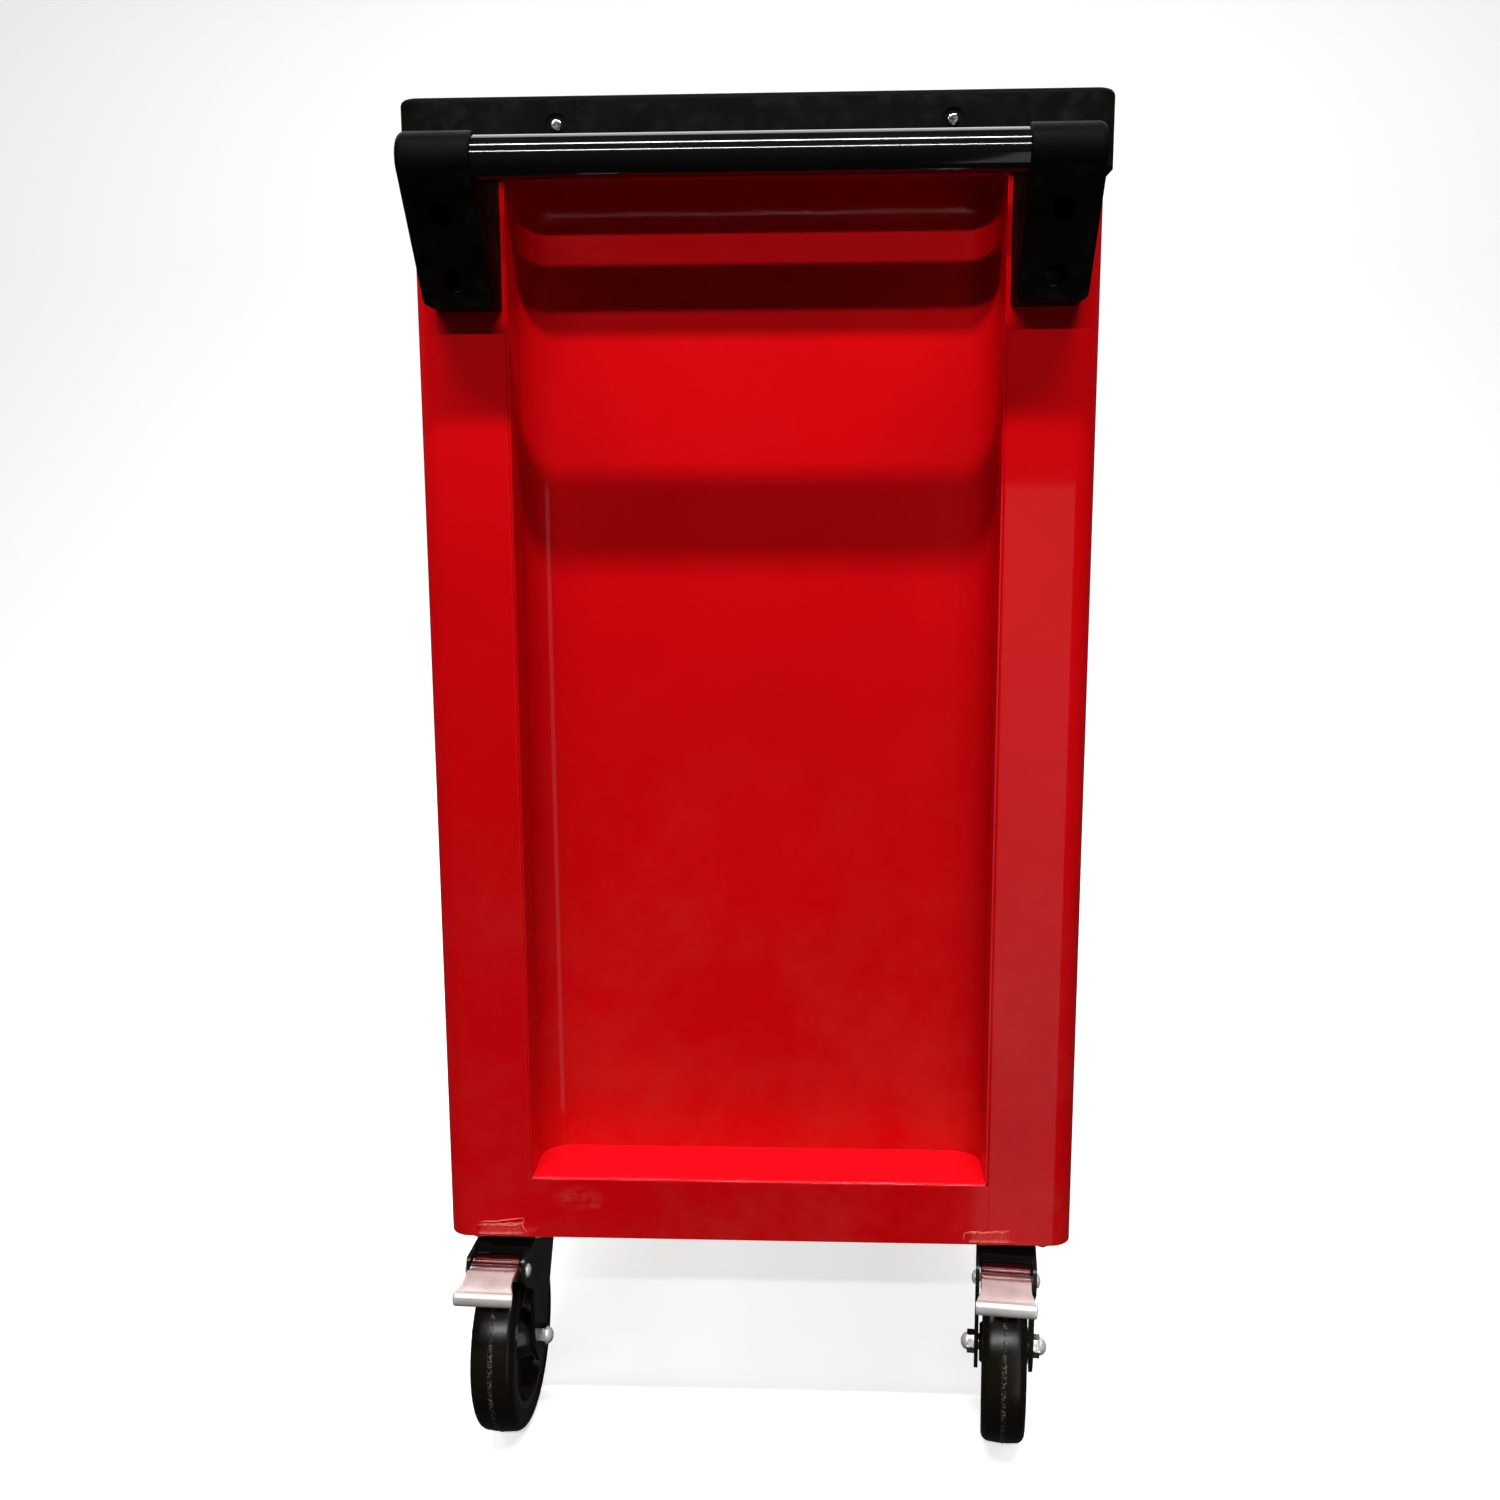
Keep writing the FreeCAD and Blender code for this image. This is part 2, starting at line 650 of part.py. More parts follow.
def hub():
    """Moulded wheel centre with a dished web and a boss on the axle."""
    rim = wheel_width / 2 - 1
    boss = fork_inner - 0.6
    web = rim - 8
    return revolve([(-boss, axle_radius), (boss, axle_radius), (boss, 13), (web, 17), (web, rim_radius - 10),
                    (rim, rim_radius - 7), (rim, rim_radius), (-rim, rim_radius), (-rim, rim_radius - 7),
                    (-web, rim_radius - 10), (-web, 17), (-boss, 13)])


def caster_bolt(x, y):
    """Hex bolt from below with its nut on top of the base pan."""
    shank = rod(4.0, (x, y, plate_low - 1), (0, 0, 1), 16)
    head = hexagon(13, (x, y, plate_low - 5), (0, 0, 1), 5)
    nut = hexagon(13, (x, y, shell_z), (0, 0, 1), 6).cut(rod(4.0, (x, y, shell_z - 1), (0, 0, 1), 9))
    return [head.fuse(shank), nut]


# ---------------------------------------------------------------- assembly
def place(shape, x, y, angle):
    """Put a caster part, drawn about its swivel axis, at its corner."""
    moved = shape.copy()
    turn = FreeCAD.Rotation(V(0, 0, 1), angle)
    moved.Placement = FreeCAD.Placement(V(x, y, 0), turn).multiply(moved.Placement)
    return moved


def build_shell():
    post = corner_post()
    drilled = post.cut(bracket_holes())
    keep("post_front_handle_end", drilled)
    keep("post_rear_handle_end", mirror_y(drilled))
    keep("post_front_far_end", mirror_x(post))
    keep("post_rear_far_end", mirror_y(mirror_x(post)))
    keep("end_panel_handle_end", end_panel())
    keep("end_panel_far_end", mirror_x(end_panel()))
    for name, rail in (("end_bottom_rails", end_bottom_rail()), ("end_top_rails", end_top_rail())):
        keep(name, group([rail, mirror_x(rail)]))
    keep("back_panel", back_panel())
    keep("base_pan", base_pan())
    keep("front_bottom_rail", front_rail(shell_z, floor_z + rail_height, 12.0))
    top_rail = front_rail(opening_high, shell_top, 22.0)
    keep("front_top_rail", top_rail.cut(rod(9.55, (lock_x, front_y - 4, lock_z), (0, 1, 0), 20)))
    keep("top_deck", top_deck())


def build_top():
    keep("top_tray", top_tray())
    screws = [tray_screw(y, z) for y, z in tray_screw_places()]
    keep("tray_screws", group(screws + [mirror_x(s) for s in screws]))


def build_handle():
    bracket = handle_bracket()
    keep("handle_bracket_front", bracket)
    keep("handle_bracket_rear", mirror_y(bracket))
    keep("handle_tube", handle_tube())
    screws = []
    for side in (-1, 1):
        for z in bracket_screw_heights():
            screws += handle_screw(centre_y + side * bracket_hole_y, z)
    keep("handle_screws", group(screws))


def build_drawers():
    channels = []
    for i, (z0, z1) in enumerate(front_heights()[::-1]):
        name = "drawer_%d" % (i + 1)
        keep(name + "_box", drawer_box(z0, z1))
        keep(name + "_front", drawer_front(z0, z1))
        keep(name + "_pull", drawer_pull(z0, z1))
        channels += [slide_channel(z0, z1, 1), slide_channel(z0, z1, -1)]
    keep("slide_channels", group(channels))
    keep("lock_barrel", lock_barrel())
    keep("lock_plug", lock_plug())
    keep("lock_bar", lock_bar())


def build_casters():
    near_x = end_x - swivel_inset_x
    fixed_x = far_x + fixed_inset_x
    plates, forks, axles, bolts = [], [], [], []
    for side, sign in (("front", -1), ("rear", 1)):
        y = centre_y + sign * caster_y
        angle = swivel_angles[side]
        shift = V(trail, 0, 0)
        plates.append(swivel_plate(near_x, y))
        keep("swivel_fork_" + side, place(swivel_fork(), near_x, y, angle))
        keep("brake_pedal_" + side, place(brake_pedal(), near_x, y, angle))
        for name, part in (("swivel_axle_", axle()), ("swivel_tyre_", tyre()), ("swivel_hub_", hub())):
            part.translate(shift)
            keep(name + side, place(part, near_x, y, angle))
        forks.append(fixed_fork(fixed_x, y))
        axles.append(place(axle(), fixed_x, y, 0))
        keep("fixed_tyre_" + side, place(tyre(), fixed_x, y, 0))
        keep("fixed_hub_" + side, place(hub(), fixed_x, y, 0))
    for x, y in caster_bolt_places():
        bolts += caster_bolt(x, y)
    keep("swivel_plates", group(plates))
    keep("fixed_forks", group(forks))
    keep("fixed_axles", group(axles))
    keep("caster_bolts", group(bolts))


def main():
    build_shell()
    build_top()
    build_handle()
    build_drawers()
    build_casters()
    os.makedirs("parts", exist_ok=True)
    for name, shape in nodes.items():
        if not shape.isValid() or not all(s.isClosed() for s in shape.Solids):
            raise ValueError(name + " is not a sound solid")
        shape.exportStep("parts/%s.step" % name)
    whole = Part.makeCompound(list(nodes.values())).BoundBox
    print(len(nodes), "nodes", [round(v, 2) for v in (whole.XMin, whole.XMax, whole.YMin,
                                                     whole.YMax, whole.ZMin, whole.ZMax)])
    print("end_x", end_x, "centre_y", centre_y, "lock", lock_x, lock_z)


main()
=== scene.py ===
import json
import math
import random

import bmesh
import bpy
from mathutils import Matrix, Vector, noise

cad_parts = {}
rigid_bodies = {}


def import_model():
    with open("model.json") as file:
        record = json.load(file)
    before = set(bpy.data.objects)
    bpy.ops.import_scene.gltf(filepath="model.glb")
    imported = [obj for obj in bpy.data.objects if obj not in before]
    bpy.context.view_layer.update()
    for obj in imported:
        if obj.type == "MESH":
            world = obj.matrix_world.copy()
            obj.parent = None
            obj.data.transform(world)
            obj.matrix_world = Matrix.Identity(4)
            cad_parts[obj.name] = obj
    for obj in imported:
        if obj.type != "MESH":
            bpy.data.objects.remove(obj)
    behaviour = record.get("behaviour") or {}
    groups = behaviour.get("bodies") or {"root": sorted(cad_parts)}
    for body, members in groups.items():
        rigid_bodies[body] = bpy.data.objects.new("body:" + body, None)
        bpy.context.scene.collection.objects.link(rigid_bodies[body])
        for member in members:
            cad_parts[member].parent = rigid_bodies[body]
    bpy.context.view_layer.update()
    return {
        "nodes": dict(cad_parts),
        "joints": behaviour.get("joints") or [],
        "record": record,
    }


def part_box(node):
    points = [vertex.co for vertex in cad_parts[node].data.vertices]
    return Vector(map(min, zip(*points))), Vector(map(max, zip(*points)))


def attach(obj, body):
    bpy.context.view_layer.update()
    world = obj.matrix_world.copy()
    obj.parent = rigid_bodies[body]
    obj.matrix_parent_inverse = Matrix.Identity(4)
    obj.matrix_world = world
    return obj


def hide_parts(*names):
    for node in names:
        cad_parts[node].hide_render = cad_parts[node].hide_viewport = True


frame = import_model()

MM = 0.001

# ------------------------------------------------------------------ camera
CAMERA_PLACE = Vector((1.3352, 0.0450, 0.7028))
CAMERA_PITCH = 9.40        # degrees down from level
CAMERA_YAW = -2.605        # degrees about Z, from looking along -X
CAMERA_ROLL = -0.235
CAMERA_LENS = 36.0         # mm, on a 36 mm square sensor


def look_axes(pitch, yaw, roll):
    """Forward, right and up directions of a camera that looks along -X."""
    p, w, r = (math.radians(a) for a in (pitch, yaw, roll))
    forward = Vector((-math.cos(w) * math.cos(p), math.sin(w) * math.cos(p), -math.sin(p)))
    level = forward.cross(Vector((0, 0, 1))).normalized()
    top = level.cross(forward)
    right = math.cos(r) * level + math.sin(r) * top
    up = -math.sin(r) * level + math.cos(r) * top
    return forward, right, up


def make_camera():
    forward, right, up = look_axes(CAMERA_PITCH, CAMERA_YAW, CAMERA_ROLL)
    data = bpy.data.cameras.new("camera")
    data.lens = CAMERA_LENS
    data.sensor_width = 36.0
    data.clip_end = 50.0
    camera = bpy.data.objects.new("camera", data)
    turn = Matrix((right, up, -forward)).transposed().to_4x4()
    camera.matrix_world = Matrix.Translation(CAMERA_PLACE) @ turn
    bpy.context.scene.collection.objects.link(camera)
    bpy.context.scene.camera = camera


make_camera()


# ------------------------------------------------------------------ material nodes
class Shader:
    """A material with its Principled shader and short ways to add nodes."""

    def __init__(self, name, **sockets):
        self.material = bpy.data.materials.new(name)
        self.material.use_nodes = True
        self.tree = self.material.node_tree
        self.tree.nodes.clear()
        self.out = self.node("ShaderNodeOutputMaterial")
        self.bsdf = self.node("ShaderNodeBsdfPrincipled")
        self.tree.links.new(self.bsdf.outputs[0], self.out.inputs[0])
        for key, value in sockets.items():
            self.bsdf.inputs[key.replace("_", " ")].default_value = value
        self.place = self.node("ShaderNodeTexCoord").outputs["Object"]
        self.height = None

    def node(self, kind, **values):
        made = self.tree.nodes.new(kind)
        for key, value in values.items():
            setattr(made, key, value)
        return made

    def put(self, socket, value):
        if isinstance(value, bpy.types.NodeSocket):
            self.tree.links.new(value, socket)
        else:
            socket.default_value = value

    def stretched(self, scale):
        mapping = self.node("ShaderNodeMapping")
        self.put(mapping.inputs["Vector"], self.place)
        mapping.inputs["Scale"].default_value = scale
        return mapping.outputs[0]

    def noise(self, scale, detail=3.0, rough=0.5, vector=None):
        made = self.node("ShaderNodeTexNoise")
        self.put(made.inputs["Vector"], vector or self.place)
        made.inputs["Scale"].default_value = scale
        made.inputs["Detail"].default_value = detail
        made.inputs["Roughness"].default_value = rough
        return made.outputs["Fac"]

    def remap(self, value, low, high, to_low=0.0, to_high=1.0):
        made = self.node("ShaderNodeMapRange")
        for socket, number in zip(made.inputs[:5], (value, low, high, to_low, to_high)):
            self.put(socket, number)
        return made.outputs[0]

    def math(self, operation, a, b=0.0):
        made = self.node("ShaderNodeMath", operation=operation)
        self.put(made.inputs[0], a)
        self.put(made.inputs[1], b)
        return made.outputs[0]

    def mix(self, factor, a, b):
        made = self.node("ShaderNodeMix", data_type="RGBA")
        self.put(made.inputs[0], factor)
        self.put(made.inputs[6], a)
        self.put(made.inputs[7], b)
        return made.outputs[2]

    def axis(self, name):
        made = self.node("ShaderNodeSeparateXYZ")
        self.put(made.inputs[0], self.place)
        return made.outputs[name]

    def near(self, point, reach):
        """1 at point, falling to 0 at reach (metres in each axis)."""
        mapping = self.node("ShaderNodeMapping", vector_type="TEXTURE")
        self.put(mapping.inputs["Vector"], self.place)
        mapping.inputs["Location"].default_value = point
        mapping.inputs["Scale"].default_value = reach
        length = self.node("ShaderNodeVectorMath", operation="LENGTH")
        self.put(length.inputs[0], mapping.outputs[0])
        return self.remap(length.outputs["Value"], 0.35, 1.0, 1.0, 0.0)

    def colour(self, value):
        self.put(self.bsdf.inputs["Base Color"], value)

    def rough(self, value):
        self.put(self.bsdf.inputs["Roughness"], value)

    def bump(self, value, depth, strength=1.0):
        made = self.node("ShaderNodeBump")
        made.inputs["Strength"].default_value = strength
        made.inputs["Distance"].default_value = depth
        self.put(made.inputs["Height"], value)
        if self.height is not None:
            self.put(made.inputs["Normal"], self.height)
        self.height = made.outputs[0]
        self.put(self.bsdf.inputs["Normal"], self.height)

    def edges(self, low=0.53, high=0.62):
        """1 on the convex edges of the mesh."""
        return self.remap(self.node("ShaderNodeNewGeometry").outputs["Pointiness"], low, high)


def rgb(r, g, b):
    return (r, g, b, 1.0)


def red_paint():
    s = Shader("red_paint", Metallic=0.0, Specular_IOR_Level=0.03,
               Coat_Weight=0.32, Coat_Roughness=0.06)
    fresh = rgb(0.60, 0.0016, 0.0040)
    deep = rgb(0.50, 0.0008, 0.0028)
    dusty = rgb(0.56, 0.030, 0.024)
    colour = s.mix(s.remap(s.noise(3.0, 4.0), 0.35, 0.7), deep, fresh)
    low = s.remap(s.axis("Z"), 0.60, 0.15)
    dust = s.math("MULTIPLY", s.remap(s.noise(14.0, 8.0, 0.7), 0.42, 0.8), low)
    colour = s.mix(s.math("MULTIPLY", dust, 0.55), colour, dusty)
    # Hand marks on the bottom rail, near its front end and towards the rear.
    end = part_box("end_bottom_rails")[1].x
    for y, z, reach in ((-0.130, 0.196, 0.022), (-0.118, 0.190, 0.005)):
        mark = s.math("MULTIPLY", s.near((end, y, z), (0.02, reach, reach * 0.5)),
                      s.remap(s.noise(160.0, 6.0, 0.7), 0.40, 0.75))
        colour = s.mix(s.math("MULTIPLY", mark, 0.38), colour, rgb(0.66, 0.09, 0.08))
    # Paint that has lifted stands proud of the post; its raised ridges get a painted highlight, a
    # lighter pink-red.
    ridge_highlight = s.remap(s.axis("X"), end + 0.08 * MM, end + 0.90 * MM)
    colour = s.mix(ridge_highlight, colour, rgb(0.90, 0.26, 0.21))
    # Faces that turn up towards the lamps, such as the ledge, get a painted highlight: a brighter
    # red than the upright faces.
    up = s.node("ShaderNodeSeparateXYZ")
    s.put(up.inputs[0], s.node("ShaderNodeNewGeometry").outputs["Normal"])
    s.colour(s.mix(s.remap(up.outputs["Z"], 0.5, 0.9), colour, rgb(0.92, 0.004, 0.012)))
    s.rough(s.remap(s.noise(9.0, 5.0), 0.3, 0.75, 0.20, 0.34))
    s.bump(s.noise(420.0, 2.0), 0.00004)
    return s.material


def black_plastic():
    s = Shader("black_plastic", Metallic=0.0, Specular_IOR_Level=0.02)
    worn = s.math("MULTIPLY", s.edges(0.52, 0.60), s.remap(s.noise(90.0, 6.0), 0.45, 0.7))
    base = s.mix(s.remap(s.noise(25.0, 5.0), 0.35, 0.7),
                 rgb(0.0026, 0.0025, 0.0018), rgb(0.0040, 0.0038, 0.0027))
    s.colour(s.mix(s.math("MULTIPLY", worn, 0.35), base, rgb(0.034, 0.033, 0.030)))
    s.rough(s.remap(s.noise(40.0, 4.0), 0.3, 0.7, 0.42, 0.54))
    s.bump(s.noise(2600.0, 3.0, 0.6), 0.00010, 0.6)
    return s.material


def gloss_tube():
    s = Shader("black_gloss", Metallic=0.0, Specular_IOR_Level=0.3,
               Coat_Weight=0.25, Coat_Roughness=0.03)
    s.colour(s.mix(s.noise(30.0, 4.0), rgb(0.0022, 0.0022, 0.0022), rgb(0.0050, 0.0048, 0.0046)))
    s.rough(s.remap(s.noise(18.0, 4.0), 0.35, 0.75, 0.07, 0.12))
    return s.material


def black_paint():
    s = Shader("black_paint", Metallic=0.0, Coat_Weight=0.25, Coat_Roughness=0.12)
    s.colour(s.mix(s.noise(20.0, 4.0), rgb(0.0070, 0.0066, 0.0048), rgb(0.0110, 0.0102, 0.0076)))
    s.rough(s.remap(s.noise(30.0, 5.0), 0.3, 0.7, 0.26, 0.40))
    s.bump(s.noise(300.0, 2.0), 0.00002)
    return s.material


def plated(name, tint, low, high, scale=(1, 1, 1), metal=1.0):
    """Plated or bare metal whose polish varies and carries fine scratches."""
    s = Shader(name, Metallic=metal)
    fine = s.noise(220.0, 6.0, 0.7, s.stretched(scale))
    dull = tuple(c * 0.72 for c in tint)
    s.colour(s.mix(s.remap(s.noise(35.0, 5.0), 0.35, 0.75), rgb(*tint), rgb(*dull)))
    s.rough(s.remap(fine, 0.3, 0.75, low, high))
    s.bump(fine, 0.00003, 0.6)
    return s.material


def tread_rubber():
    s = Shader("tread", Metallic=0.0, Specular_IOR_Level=0.27)
    middle = s.remap(s.math("ABSOLUTE", s.axis("Y")), 0.0006, 0.0022, 1.0, 0.0)
    grit = s.remap(s.noise(520.0, 6.0, 0.75), 0.50, 0.66)
    base = s.mix(s.noise(30.0, 5.0), rgb(0.0062, 0.0048, 0.0028), rgb(0.0100, 0.0078, 0.0047))
    dusted = s.mix(s.math("MULTIPLY", middle, grit), base, rgb(0.30, 0.27, 0.22))
    specks = s.remap(s.noise(900.0, 2.0), 0.72, 0.76)
    s.colour(s.mix(s.math("MULTIPLY", specks, 0.5), dusted, rgb(0.22, 0.20, 0.17)))
    s.rough(s.remap(s.noise(60.0, 6.0), 0.3, 0.7, 0.17, 0.30))
    s.bump(s.noise(700.0, 4.0, 0.6), 0.00005, 0.8)
    return s.material


def hub_plastic():
    s = Shader("hub_plastic", Metallic=0.0, Coat_Weight=0.5, Coat_Roughness=0.08)
    s.colour(s.mix(s.noise(40.0, 5.0), rgb(0.0060, 0.0055, 0.0045), rgb(0.012, 0.011, 0.009)))
    s.rough(s.remap(s.noise(50.0, 5.0), 0.3, 0.7, 0.18, 0.32))
    s.bump(s.noise(350.0, 3.0), 0.00004)
    return s.material


MATERIALS = {
    "red_paint": red_paint(),
    "black_plastic": black_plastic(),
    "black_gloss": gloss_tube(),
    "black_paint": black_paint(),
    "chrome": plated("chrome", (0.86, 0.84, 0.82), 0.07, 0.22),
    "zinc": plated("zinc", (0.60, 0.61, 0.62), 0.26, 0.44),
    "pull_metal": plated("pull_metal", (0.66, 0.67, 0.68), 0.24, 0.38, (0.02, 1, 1), 0.55),
    "tread": tread_rubber(),
    "hub_plastic": hub_plastic(),
}


# The pad is rubbed by shoes beyond this distance from its rivet (m).
RUBBED_FROM, RUBBED_FULLY = 0.014, 0.019


def satin_plate():
    """Pedal plating: mirror bright by the rivet, rubbed to satin under the foot."""
    s = Shader("chrome_satin")
    along = s.axis("X")
    s.put(s.bsdf.inputs["Metallic"], s.remap(along, RUBBED_FROM, RUBBED_FULLY, 1.0, 0.45))
    worn = s.mix(s.remap(s.noise(60.0, 5.0), 0.35, 0.75),
                 rgb(0.80, 0.76, 0.73), rgb(0.62, 0.58, 0.56))
    # Near the rivet the plate takes a pink tint: a painted reflection of the red cabinet.
    s.colour(s.mix(s.remap(along, RUBBED_FROM, RUBBED_FULLY), rgb(0.50, 0.43, 0.43), worn))
    fine = s.noise(420.0, 5.0, 0.7)
    s.rough(s.math("ADD", s.remap(along, RUBBED_FROM, RUBBED_FULLY, 0.08, 0.26),
                   s.remap(fine, 0.3, 0.75, 0.0, 0.14)))
    s.bump(fine, 0.00002, 0.5)
    return s.material


SATIN_PLATE = satin_plate()
CAP_PLATE = plated("chrome_cap", (0.92, 0.91, 0.90), 0.20, 0.38, metal=0.35)


def dress_frame():
    """Every CAD node takes the material of its slot."""
    slots = {p["node"]: p["material_slot"] for p in frame["record"]["subparts"]}
    for name, piece in frame["nodes"].items():
        piece.data.materials.clear()
        piece.data.materials.append(MATERIALS[slots[name]])


dress_frame()


# ------------------------------------------------------------------ mesh helpers
def finish_mesh(name, mesh, slot, body, place=None, smooth=40.0):
    """Make a piece from a bmesh: smooth shading, slot material, body to ride on."""
    data = bpy.data.meshes.new(name)
    bmesh.ops.recalc_face_normals(mesh, faces=mesh.faces)
    mesh.to_mesh(data)
    mesh.free()
    piece = bpy.data.objects.new(name, data)
    bpy.context.scene.collection.objects.link(piece)
    data.materials.append(MATERIALS[slot])
    data.shade_smooth()
    data.set_sharp_from_angle(angle=math.radians(smooth))
    if place is not None:
        piece.matrix_world = place
    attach(piece, body)
    return piece


def box_between(mesh, low, high):
    """A box from its lowest to its highest corner."""
    corners = [mesh.verts.new((x, y, z))
               for x in (low.x, high.x) for y in (low.y, high.y) for z in (low.z, high.z)]
    for face in ((0, 1, 3, 2), (4, 6, 7, 5), (0, 4, 5, 1), (2, 3, 7, 6), (0, 2, 6, 4), (1, 5, 7, 3)):
        mesh.faces.new([corners[i] for i in face])


def lathe(mesh, profile, steps):
    """Close a ring about local Y from (y, r) points."""
    rings = []
    for k in range(steps):
        a = 2 * math.pi * k / steps
        rings.append([mesh.verts.new((r * math.cos(a), y, r * math.sin(a))) for y, r in profile])
    count = len(profile)
    for k in range(steps):
        here, after = rings[k], rings[(k + 1) % steps]
        for i in range(count):
            j = (i + 1) % count
            mesh.faces.new((here[i], here[j], after[j], after[i]))


def arc(cy, cr, radius, start, end, steps):
    """(y, r) points along an arc, angles in degrees from +r towards +y."""
    points = []
    for k in range(steps + 1):
        a = math.radians(start + (end - start) * k / steps)
        points.append((cy + radius * math.sin(a), cr + radius * math.cos(a)))
    return points


def bevelled(piece, width, segments=2, angle=35.0):
    made = piece.modifiers.new("edge", "BEVEL")
    made.width = width
    made.segments = segments
    made.limit_method = "ANGLE"
    made.angle_limit = math.radians(angle)
    return piece


# ------------------------------------------------------------------ wheels
JOINTS = {j["name"]: j for j in frame["joints"]}
WHEELS = {"swivel_front": "swivel_roll_front", "swivel_rear": "swivel_roll_rear",
          "fixed_front": "fixed_roll_front", "fixed_rear": "fixed_roll_rear"}
WHEEL_RADIUS = 69.5 * MM
RIM_RADIUS = 54.0 * MM
HALF_TREAD = 16.0 * MM
TREAD_STEPS, HUB_STEPS, FINE_STEPS = 128, 96, 32    # sides of the lathed rings


def wheel_place(joint):
    """A frame at the wheel's centre whose Y is the axle."""
    across = Vector(joint["axis"]).normalized()
    up = Vector((0, 0, 1))
    forward = across.cross(up)
    turn = Matrix((forward, across, up)).transposed().to_4x4()
    return Matrix.Translation(Vector(joint["pos_m"])) @ turn


def tyre_profile():
    """Half of the moulded tread: crown, shoulder, side wall with a step."""
    r = WHEEL_RADIUS
    half = [(0.0, r), (0.35 * MM, r), (0.8 * MM, r - 0.35 * MM), (4.0 * MM, r - 0.4 * MM),
            (8.0 * MM, r - 0.8 * MM)]
    half += arc(HALF_TREAD - 6.5 * MM, r - 7.4 * MM, 6.5 * MM, 12, 90, 8)
    half += [(HALF_TREAD, r - 8.6 * MM), (HALF_TREAD - 0.7 * MM, r - 9.2 * MM),
             (HALF_TREAD - 0.7 * MM, RIM_RADIUS + 0.9 * MM), (HALF_TREAD - 1.5 * MM, RIM_RADIUS)]
    return half


def hub_profile():
    """Half of the hub: rim, thin web, boss round the bore."""
    rim = HALF_TREAD - 1.0 * MM
    web = 6.5 * MM
    boss = 18.2 * MM
    bore = 6.05 * MM
    return [(0.0, RIM_RADIUS), (rim - 0.6 * MM, RIM_RADIUS), (rim, RIM_RADIUS - 0.6 * MM),
            (rim, 48.5 * MM), (rim - 0.8 * MM, 47.6 * MM), (web + 2.2 * MM, 46.6 * MM),
            (web + 0.6 * MM, 45.8 * MM), (web, 44.0 * MM), (web, 21.0 * MM),
            (web + 0.7 * MM, 19.4 * MM), (boss - 6.0 * MM, 16.8 * MM),
            (boss - 1.0 * MM, 14.2 * MM), (boss, 13.2 * MM), (boss, bore), (0.0, bore)]


def mirrored(half):
    """Both sides of a profile given for y >= 0; points on y = 0 aren't doubled."""
    other = [(-y, r) for y, r in half[::-1] if y > 0]
    return half + other


def make_wheel(name, joint):
    body = joint["child"]
    place = wheel_place(joint)
    mesh = bmesh.new()
    lathe(mesh, mirrored(tyre_profile()), TREAD_STEPS)
    kind, side = name.split("_")
    tyre = finish_mesh(name + "_tread_ring", mesh, "tread", body, place, 32.0)
    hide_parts("%s_tyre_%s" % (kind, side))
    mesh = bmesh.new()
    lathe(mesh, mirrored(hub_profile()), HUB_STEPS)
    centre = finish_mesh(name + "_wheel_centre", mesh, "hub_plastic", body, place, 30.0)
    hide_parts("%s_hub_%s" % (kind, side))


for wheel, joint_name in WHEELS.items():
    make_wheel(wheel, JOINTS[joint_name])


# ------------------------------------------------------------------ brake pedals
# All in mm from the rivet, which is at the joint: x outwards, y along the rivet, z up.
# The pad's (x, z, half width), from its top edge over three ribs to the curled lip.
PAD_LINE = [
    (-8.0, 9.6, 16.6), (-4.5, 11.2, 17.6), (0.0, 10.8, 17.7), (3.0, 10.2, 17.7),
    (4.1, 10.9, 17.7), (5.0, 10.8, 17.7), (6.0, 9.9, 17.7), (9.5, 9.2, 17.7),
    (10.6, 9.9, 17.7), (11.5, 9.8, 17.7), (12.5, 8.8, 17.7), (16.5, 7.4, 17.7),
    (18.2, 8.2, 17.9), (22.0, 7.8, 17.7), (28.0, 7.0, 17.5), (34.0, 6.0, 18.2),
    (38.5, 5.0, 19.8), (40.6, 4.0, 21.0), (42.2, 4.9, 21.6), (44.4, 4.5, 21.8),
    (46.0, 2.3, 21.8), (46.7, -0.7, 21.6), (46.2, -3.7, 21.4), (44.6, -5.2, 21.0),
    (42.6, -4.9, 20.8),
]
EAR_OUTLINE = [(-8.5, 9.2), (12.0, 8.2), (20.0, 6.6), (27.0, 5.6), (18.0, 0.5), (9.0, -4.5),
               (3.0, -6.8), (-4.0, -6.8), (-8.5, -4.0), (-10.0, 2.0)]
EAR_SIDES = (-18.3, 16.8)          # lower y face of each ear
TAB_LOW, TAB_HIGH = Vector((10.2, -13.5, -13.8)), Vector((12.0, 13.5, 8.4))
PLATE = 1.5                        # thickness of the pressed sheet
DISH_START, DISH_END = 18.0, 40.0  # the dished part of the pad, along x
DISH_FLAT = 0.72                   # share of its half width that stays flat
DISH_LIFT = 1.1
PAD_COLUMNS = 14
RIVET_SHANK = 22.2 * MM            # from its middle to the underside of each head
RIVET_RADIUS = 3.0 * MM
AXIS_GAP = 0.05 * MM               # smallest radius of a lathed ring


